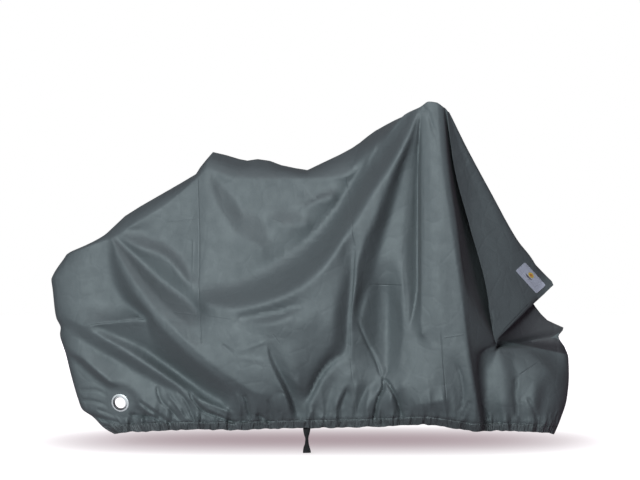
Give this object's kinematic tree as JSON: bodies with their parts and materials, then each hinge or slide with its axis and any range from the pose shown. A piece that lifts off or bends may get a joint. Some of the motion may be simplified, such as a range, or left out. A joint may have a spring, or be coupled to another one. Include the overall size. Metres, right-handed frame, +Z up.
{
  "type": "bicycle cover",
  "caption": "Fitted cloth cover for a bicycle, hollow and open below, with gathered hem, pleated front flap, lock eyelets, label patch and a belly strap end.",
  "frame": {"origin": "just under the cloth at the middle of the handlebar, where the cover hangs", "axes": "+X towards the front wheel, +Y to the far side, +Z up"},
  "size_m": [1.7243, 0.5571, 1.131],
  "materials": {
    "cover_cloth": "coated woven polyester, slate grey with a slight green cast, satin",
    "eyelet_metal": "nickel plated, polished with fine wear",
    "label_cloth": "woven patch, lilac grey",
    "strap_webbing": "black woven webbing"
  },
  "bodies": {
    "root": {"cover": "cover_cloth", "eyelet_near": "eyelet_metal", "eyelet_far": "eyelet_metal", "label": "label_cloth", "belly_strap": "strap_webbing"}
  },
  "joints": []
}
